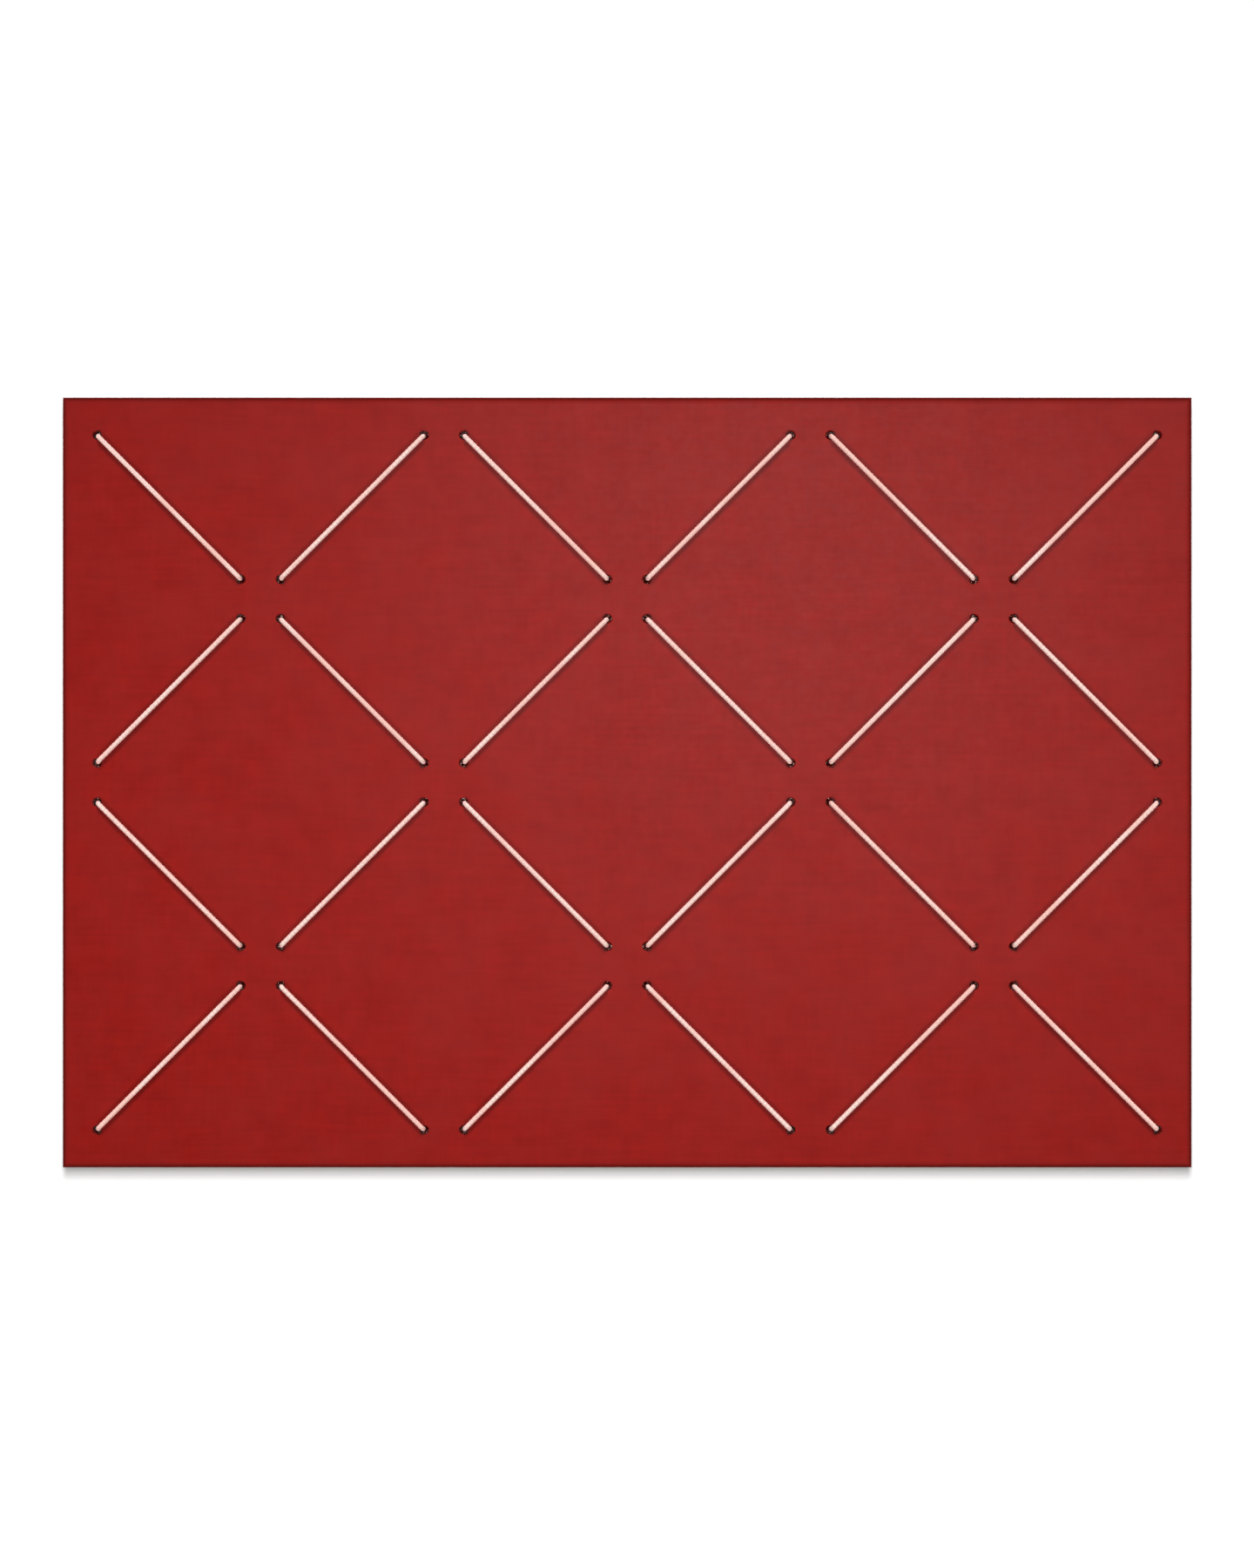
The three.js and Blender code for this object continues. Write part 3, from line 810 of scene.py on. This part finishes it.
def linoleum_face(material):
    """The drilled sheet, its outer edge and the rims of its holes rounded towards the front."""
    rounding = arris(FACE_ARRIS, FACE_ARRIS_STEPS)[1:]
    profile = [(SHADED_BORDER_END, 0), (SHADED_BORDER_FAINT, 0)] + rounding
    outline = [(board_outline(inset), LINOLEUM_FRONT + depth) for inset, depth in profile]
    outline.append((board_outline(0), LINOLEUM_REAR))
    holes = [
        round_hole(
            hole.x, hole.z, HOLE_RADIUS, HOLE_SIDES,
            LINOLEUM_FRONT, LINOLEUM_REAR, HOLE_ARRIS, FINE_ARRIS,
        )
        for hole in cord_holes()
    ]
    verts, faces = walled_plate([outline, *holes])
    piece = add_solid(
        "linoleum_face", verts, faces, material, "linoleum_front_sheet"
    )

    # Painted shade: arris and hole walls darker than a cut edge alone, and the border is shade only
    def share_at(place):
        inset = edge_distance(place)
        depth = place.y - LINOLEUM_FRONT
        if inset < FACE_ARRIS + NEARLY:
            return EDGE_AND_SHADE_DARKNESS["side" if depth > FACE_ARRIS + NEARLY else "arris"]
        if depth > NEARLY:
            return EDGE_AND_SHADE_DARKNESS["hole"]
        return EDGE_AND_SHADE_DARKNESS["border"] if inset < SHADED_BORDER_FAINT + NEARLY else 0.0

    mark_dark_edge(piece, share_at)


def backing_board(material):
    """The drilled backing sheet, with clearance holes for the batten screws."""
    loops = [walls(board_outline, CORE_REAR, BACKING_REAR, FINE_ARRIS, BACKING_ARRIS)]
    for hole in cord_holes():
        loops.append(round_hole(
            hole.x, hole.z, HOLE_RADIUS, HOLE_SIDES,
            CORE_REAR, BACKING_REAR, FINE_ARRIS, BACKING_HOLE_ARRIS,
        ))
    clear = BATTEN_SCREW["shank"] + SCREW_CLEARANCE
    for z in BATTEN_HEIGHTS.values():
        for x in BATTEN_SCREW_STATIONS:
            loops.append(round_hole(
                x, z, clear, CLEARANCE_HOLE_SIDES,
                CORE_REAR, BACKING_REAR, FINE_ARRIS, FINE_ARRIS,
            ))
    verts, faces = walled_plate(loops)
    piece = add_solid("backing_board", verts, faces, material, "backing_sheet")
    mark_dark_edge(piece, lambda place: float(edge_distance(place) < BACKING_ARRIS + NEARLY))


def hanger_plate(side, x, material):
    """A rounded steel plate with a keyhole in its middle and a countersunk hole on either side."""

    def outline(inset):
        return rounded_rectangle(
            x, PLATE_Z, PLATE_WIDTH - 2 * inset, PLATE_HEIGHT - 2 * inset,
            PLATE_CORNER - inset, PLATE_CORNER_STEPS,
        )

    def opening(inset):
        return keyhole(x, inset)

    loops = [
        walls(outline, PLATE_FRONT, BATTEN_REAR, PLATE_FRONT_ARRIS, PLATE_REAR_ARRIS),
        walls(opening, PLATE_FRONT, BATTEN_REAR, PLATE_FRONT_ARRIS, KEYHOLE_ARRIS),
    ]
    head = PLATE_SCREW["head"] + SCREW_CLEARANCE
    shank = PLATE_SCREW["shank"] + SCREW_CLEARANCE
    slope_end = BATTEN_REAR - SCREW_RIM - (PLATE_SCREW["head"] - PLATE_SCREW["shank"])
    levels = [
        (shank + (PLATE_FRONT - slope_end), PLATE_FRONT),
        (head, BATTEN_REAR - SCREW_RIM),
        (head, BATTEN_REAR - COUNTERSINK_ARRIS),
        (head + COUNTERSINK_ARRIS, BATTEN_REAR),
    ]
    for screw_x in (x - PLATE_SCREW_OFFSET, x + PLATE_SCREW_OFFSET):
        loops.append([(circle(screw_x, PLATE_Z, r, SCREW_SIDES), y) for r, y in levels])
    verts, faces = walled_plate(loops)
    name = f"hanger_plate_{side}"
    add_solid(name, verts, faces, material, f"keyhole_hanger_{side}")


def cross_outline(x, z, reach, width):
    """A cross-shaped recess, with its inner and outer corners eased."""
    half = width / 2
    ease = width * RECESS_CORNER_SHARE
    quarter = [
        (reach, -half + ease), (reach, half - ease), (reach - ease, half),
        (half + ease, half), (half, half + ease),
    ]
    points = []
    for turn in range(4):
        c, s = math.cos(turn * math.pi / 2), math.sin(turn * math.pi / 2)
        points += [(x + px * c - pz * s, z + px * s + pz * c) for px, pz in quarter]
    return points


def shank_rings(screw, cone_end):
    """(radius, y) of the rings down a screw's thread, tapered towards the tip."""
    shank, length = screw["shank"], screw["length"]
    tip_y = BATTEN_REAR - length
    start, end = cone_end - THREAD_START, tip_y + THREAD_STOP
    steps = int((start - end) / (shank * THREAD_PITCH / THREAD_RINGS_PER_TURN))
    rings = []
    for k in range(steps + 1):
        y = start + (end - start) * k / steps
        rings.append((shank * min(1.0, (y - tip_y) / screw["tip"]), y))
    return rings


def turned_ring(x, z, radius, y):
    return [(px, y, pz) for px, pz in circle(x, z, radius, SCREW_SIDES)]


def threaded_ring(x, z, radius, y, pitch):
    """A ring that dips where the groove of the thread passes it."""
    ring = []
    for k in range(SCREW_SIDES):
        angle = 2 * math.pi * k / SCREW_SIDES
        wave = (y / pitch + k / SCREW_SIDES) % 1.0
        r = radius * (1 - THREAD_DEPTH * min(1.0, THREAD_FLANK * abs(wave - 0.5)))
        ring.append((x + r * math.cos(angle), y, z + r * math.sin(angle)))
    return ring


def countersunk_screw(name, screw, x, z, material, replaced):
    """Flat head with a cross recess, a cone under it, and a threaded shank down to the tip."""
    head, shank = screw["head"], screw["shank"]
    levels = [
        (RECESS_MOUTH, 0.0), (RECESS_THROAT, RECESS_ARRIS), (RECESS_FLOOR, head * RECESS_DEPTH)
    ]
    recess = [
        (cross_outline(x, z, head * reach, head * width), BATTEN_REAR - depth)
        for (reach, width), depth in levels
    ]
    verts, faces, starts = [], [], []
    for points, y in recess:
        starts.append(len(verts))
        verts += [(px, y, pz) for px, pz in points]
    for first, second in zip(starts, starts[1:]):
        faces += band(first, second, len(recess[0][0]))
    faces += cap_faces([recess[-1][0]], [starts[-1]])
    cone_end = BATTEN_REAR - SCREW_RIM - (head - shank)
    rings = [turned_ring(x, z, head - inset, BATTEN_REAR - depth) for inset, depth in HEAD_EDGE]
    rings.append(turned_ring(x, z, shank, cone_end))
    for radius, y in shank_rings(screw, cone_end):
        rings.append(threaded_ring(x, z, radius, y, shank * THREAD_PITCH))
    outer = [len(verts) + k * SCREW_SIDES for k in range(len(rings))]
    for ring in rings:
        verts += ring
    for first, second in zip(outer, outer[1:]):
        faces += band(first, second, SCREW_SIDES)
    verts.append((x, BATTEN_REAR - screw["length"], z))
    faces += fan(outer[-1], len(verts) - 1, SCREW_SIDES)
    head_loop = [(px, pz) for px, _, pz in rings[0]]
    faces += cap_faces([head_loop, recess[0][0]], [outer[0], starts[0]])
    add_solid(name, verts, faces, material, replaced)


def felt_pad(level, side, material):
    """A pressed disc whose faces and edge are slightly uneven."""
    x = -PAD_STATION if side == "left" else PAD_STATION
    z = BATTEN_HEIGHTS[level]
    profile = [(0.0, -PAD_THICKNESS)]
    profile += [(PAD_RADIUS * share, -PAD_THICKNESS) for share in PAD_RING_SHARES]
    profile += [(PAD_RADIUS - inset, y) for inset, y in PAD_RIM]
    profile += [(PAD_RADIUS * share, 0.0) for share in PAD_RING_SHARES[::-1]]
    profile += [(0.0, 0.0)]
    verts, faces = lathe(profile, (x, 0, z), PAD_SIDES)
    uneven = []
    for vx, vy, vz in verts:
        bump = 0.5 + 0.5 * noise.noise(Vector((vx, vy, vz)) * PAD_LUMPS_PER_METRE)
        squeeze = 1 - PAD_EDGE_LUMPS * bump / PAD_RADIUS
        sink = PAD_FACE_LUMPS * bump if vy > PAD_WALL_SIDE else 0.0
        uneven.append((x + (vx - x) * squeeze, vy - sink, z + (vz - z) * squeeze))
    name = f"felt_pad_{level}_{side}"
    add_solid(name, uneven, faces, material, f"{level}_wall_pad_{side}")


def dress_cad_nodes(nodes, looks):
    """Gives the CAD nodes that keep their own shape their material."""
    for name, look in (("core_panel", "core"), ("upper_batten", "pine"), ("lower_batten", "pine")):
        mesh = nodes[name].data
        mesh.materials.clear()
        mesh.materials.append(looks[look])


# Camera, stage and lamps


def make_camera():
    """Square on to the face, as the photograph was taken."""
    data = bpy.data.cameras.new("camera")
    data.lens = CAMERA_LENS
    data.sensor_fit = "VERTICAL"
    data.sensor_height = SENSOR_HEIGHT
    camera = bpy.data.objects.new("camera", data)
    camera.location = (
        CAMERA_ASIDE, LINOLEUM_FRONT - CAMERA_DISTANCE, BOARD_MIDDLE - CAMERA_BELOW
    )
    camera.rotation_euler = (math.pi / 2, 0, 0)
    bpy.context.scene.collection.objects.link(camera)
    bpy.context.scene.camera = camera


def stage_look(name, paint, tint, glow):
    """Paint that glows a little for the camera, and is clear from behind."""
    material = bpy.data.materials.new(name)
    material.use_nodes = True
    tree = material.node_tree
    tree.nodes.clear()
    seen = add_node(tree, "ShaderNodeLightPath").outputs["Is Camera Ray"]
    strength = add_node(tree, "ShaderNodeMath", {0: seen, 1: glow}, operation="MULTIPLY")
    inputs = {"Color": (*tint, 1), "Strength": strength.outputs[0]}
    emission = add_node(tree, "ShaderNodeEmission", inputs)
    diffuse = add_node(tree, "ShaderNodeBsdfDiffuse", {"Color": (paint, paint, paint, 1)})
    both = add_node(tree, "ShaderNodeAddShader", {0: diffuse.outputs[0], 1: emission.outputs[0]})
    behind = add_node(tree, "ShaderNodeNewGeometry").outputs["Backfacing"]
    clear = add_node(tree, "ShaderNodeBsdfTransparent").outputs[0]
    mix = add_node(tree, "ShaderNodeMixShader", {0: behind, 1: both.outputs[0], 2: clear})
    add_node(tree, "ShaderNodeOutputMaterial", {"Surface": mix.outputs[0]})
    return material


def stage_sheet(name, outlines, material):
    """Flat polygons of the set, one for each outline, that only the camera and lamps see."""
    verts, faces = [], []
    for outline in outlines:
        faces.append(range(len(verts), len(verts) + len(outline)))
        verts += outline
    mesh = bpy.data.meshes.new(name)
    mesh.from_pydata(verts, [], faces)
    mesh.materials.append(material)
    sheet = bpy.data.objects.new(name, mesh)
    bpy.context.scene.collection.objects.link(sheet)
    for ray in ("diffuse", "glossy", "transmission", "shadow"):
        setattr(sheet, f"visible_{ray}", False)
    return sheet


def painted_shade_discs():
    """Discs of painted shade on an upright plane, where the camera looks through the cord holes."""
    camera = bpy.context.scene.camera.location
    reach = (SHADE_Y - camera.y) / (LINOLEUM_FRONT - camera.y)
    discs = []
    for hole in cord_holes():
        x = camera.x + (hole.x - camera.x) * reach
        z = camera.z + (hole.z - camera.z) * reach
        discs.append([(px, SHADE_Y, pz) for px, pz in circle(x, z, SHADE_RADIUS, SHADE_SIDES)])
    return discs


def make_stage():
    """A pale floor, dark red painted shade behind the holes, and a white wall, which is returned."""
    far = FLOOR_REACH
    floor = [(-far, -far, FLOOR_Z), (far, -far, FLOOR_Z), (far, far, FLOOR_Z), (-far, far, FLOOR_Z)]
    wall = [
        (-WALL_REACH, WALL_Y, WALL_LOW), (WALL_REACH, WALL_Y, WALL_LOW),
        (WALL_REACH, WALL_Y, WALL_HIGH), (-WALL_REACH, WALL_Y, WALL_HIGH),
    ]
    floor_paint = stage_look("floor_paint", paint=0.9, tint=WHITE, glow=0.34)
    # Painted shade behind the holes: nearly black, glowing faintly dark red to the camera
    shade_paint = stage_look("shade_paint", paint=0.02, tint=(1.0, 0.05, 0.03), glow=0.06)
    wall_paint = stage_look("backdrop_paint", paint=0.9, tint=WHITE, glow=0.05)
    stage_sheet("floor", [floor], floor_paint)
    stage_sheet("shade_behind_holes", painted_shade_discs(), shade_paint)
    return stage_sheet("backdrop", [wall], wall_paint)


def make_world():
    """White to the camera. As light it is dim in front, brighter round that, and bright behind."""
    world = bpy.data.worlds.new("studio")
    bpy.context.scene.world = world
    world.use_nodes = True
    world.cycles.sampling_method = "NONE"
    tree = world.node_tree
    path = add_node(tree, "ShaderNodeLightPath").outputs
    towards = add_node(tree, "ShaderNodeTexCoord").outputs["Generated"]
    depth = add_node(tree, "ShaderNodeSeparateXYZ", {0: towards}).outputs["Y"]

    def remap(inputs):
        return add_node(tree, "ShaderNodeMapRange", inputs).outputs[0]

    behind = remap({0: path["Is Glossy Ray"], 3: WORLD_BEHIND, 4: WORLD_BEHIND_IN_GLOSS})
    in_front = remap({0: depth, 1: -0.9, 2: -0.6, 3: WORLD_FRONT, 4: WORLD_ROUND})
    light = remap({0: depth, 1: 0.0, 2: 0.25, 3: in_front, 4: behind})
    rays = {0: path["Is Camera Ray"], 1: path["Is Transmission Ray"]}
    seen = add_node(tree, "ShaderNodeMath", rays, operation="MAXIMUM").outputs[0]
    strength = add_node(tree, "ShaderNodeMix", {0: seen, 2: light, 3: 1.0}).outputs[0]
    background = tree.nodes["Background"].inputs
    feed(tree, background["Color"], (*WHITE, 1))
    feed(tree, background["Strength"], strength)


def add_lamp(name, kind, energy, place, target, mirrored=True, **settings):
    """A lamp aimed at a point. One that isn't mirrored leaves no image of itself in gloss."""
    data = bpy.data.lights.new(name, kind)
    data.energy = energy
    for key, value in settings.items():
        setattr(data, key, value)
    lamp = bpy.data.objects.new(name, data)
    lamp.location = place
    away = Vector(place) - Vector(target)
    lamp.rotation_euler = away.to_track_quat("Z", "Y").to_euler()
    lamp.visible_camera = False
    lamp.visible_glossy = mirrored
    bpy.context.scene.collection.objects.link(lamp)
    return lamp


def link_light(lamp, receiver, state):
    """Limits a lamp to one object, or keeps it off that object."""
    group = bpy.data.collections.new(f"{lamp.name}_receivers")
    group.objects.link(receiver)
    lamp.light_linking.receiver_collection = group
    for entry in group.collection_objects:
        entry.light_linking.link_state = state


def make_lamps(wall, core):
    """Soft light on the board from all round, and lamps for the wall and the hole walls alone.

    The two key suns, above and below in front, have no mirror image in the satin face. The lamp
    beside the camera has one, which gives the face its pale bloom. Two more lamps stand behind
    the board and one on each side.
    """
    centre = (0, LINOLEUM_FRONT, BOARD_MIDDLE)
    bottom = (0, 0, BOARD_MIDDLE - BOARD_HEIGHT / 2)
    soft_sun = {"angle": math.radians(16), "mirrored": False}
    side_lamp = {"size": 0.9, "mirrored": False}
    board_lamps = [
        add_lamp("upper_key", "SUN", 3.6, (0, -2.0, BOARD_MIDDLE + 3.3), centre, **soft_sun),
        add_lamp("lower_key", "SUN", 2.45, (0, -2.0, BOARD_MIDDLE - 3.1), centre, **soft_sun),
        add_lamp("front", "AREA", 3.1, (0.20, -2.6, 0.14), centre, size=0.8),
        add_lamp("rear_key", "SUN", 2.2, (0.5, 2.0, BOARD_MIDDLE + 1.8), centre,
                 angle=math.radians(20)),
        add_lamp("rear_front", "AREA", 12.0, (-0.5, 2.4, -0.3), centre, size=1.2),
        add_lamp("left_side", "AREA", 26.0, (-2.2, 0.35, BOARD_MIDDLE + 0.4), centre, **side_lamp),
        add_lamp("right_side", "AREA", 26.0, (2.2, 0.35, BOARD_MIDDLE + 0.4), centre, **side_lamp),
    ]
    for lamp in board_lamps:
        link_light(lamp, wall, "EXCLUDE")
    hole_lamp = add_lamp("hole_lamp", "AREA", 110.0, (0, -2.6, BOARD_MIDDLE), centre, size=1.6)
    link_light(hole_lamp, core, "INCLUDE")
    wall_lamp = add_lamp("wall_lamp", "AREA", 105.0, (0, -3.0, bottom[2] + 0.62), bottom,
                         shape="RECTANGLE", size=0.4, size_y=1.2)
    link_light(wall_lamp, wall, "INCLUDE")


# The scene

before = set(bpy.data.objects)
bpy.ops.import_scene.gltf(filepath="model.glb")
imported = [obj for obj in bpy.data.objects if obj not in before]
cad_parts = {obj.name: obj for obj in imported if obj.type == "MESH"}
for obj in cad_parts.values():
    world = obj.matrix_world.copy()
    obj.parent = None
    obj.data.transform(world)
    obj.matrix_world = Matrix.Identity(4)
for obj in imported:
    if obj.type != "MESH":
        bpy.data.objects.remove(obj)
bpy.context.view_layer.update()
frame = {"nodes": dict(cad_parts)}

make_camera()
looks = {
    "linoleum": linoleum_look(),
    "core": core_look(),
    "backing": backing_look(),
    "cord": cord_look(),
    "pine": pine_look(),
    "plate": steel_look("hanger_zinc", tint=(0.56, 0.57, 0.585), least_roughness=0.30),
    "screw": steel_look("screw_zinc", tint=(0.64, 0.615, 0.55), least_roughness=0.22),
    "felt": felt_look(),
}

crossed_nodes = set()
for letter, cord_nodes in (("a", CORD_A_NODES), ("b", CORD_B_NODES)):
    cord_route = laced_route(cord_nodes, crossed_nodes)
    braided_cord(f"laced_cord_{letter}", cord_route, looks["cord"], f"elastic_cord_{letter}")

linoleum_face(looks["linoleum"])
backing_board(looks["backing"])
dress_cad_nodes(frame["nodes"], looks)

for side, station in HANGER_STATIONS.items():
    hanger_plate(side, station, looks["plate"])
    for number, offset in ((1, -PLATE_SCREW_OFFSET), (2, PLATE_SCREW_OFFSET)):
        cad_name = f"hanger_screw_{side}_{number}"
        countersunk_screw(
            f"cross_{cad_name}", PLATE_SCREW, station + offset, PLATE_Z, looks["screw"], cad_name
        )

for level, height in BATTEN_HEIGHTS.items():
    for number, station in enumerate(BATTEN_SCREW_STATIONS, 1):
        cad_name = f"{level}_batten_screw_{number}"
        countersunk_screw(
            f"cross_{cad_name}", BATTEN_SCREW, station, height, looks["screw"], cad_name
        )
    for side in ("left", "right"):
        felt_pad(level, side, looks["felt"])

make_world()
make_lamps(make_stage(), frame["nodes"]["core_panel"])
bpy.context.scene.view_settings.view_transform = "Standard"
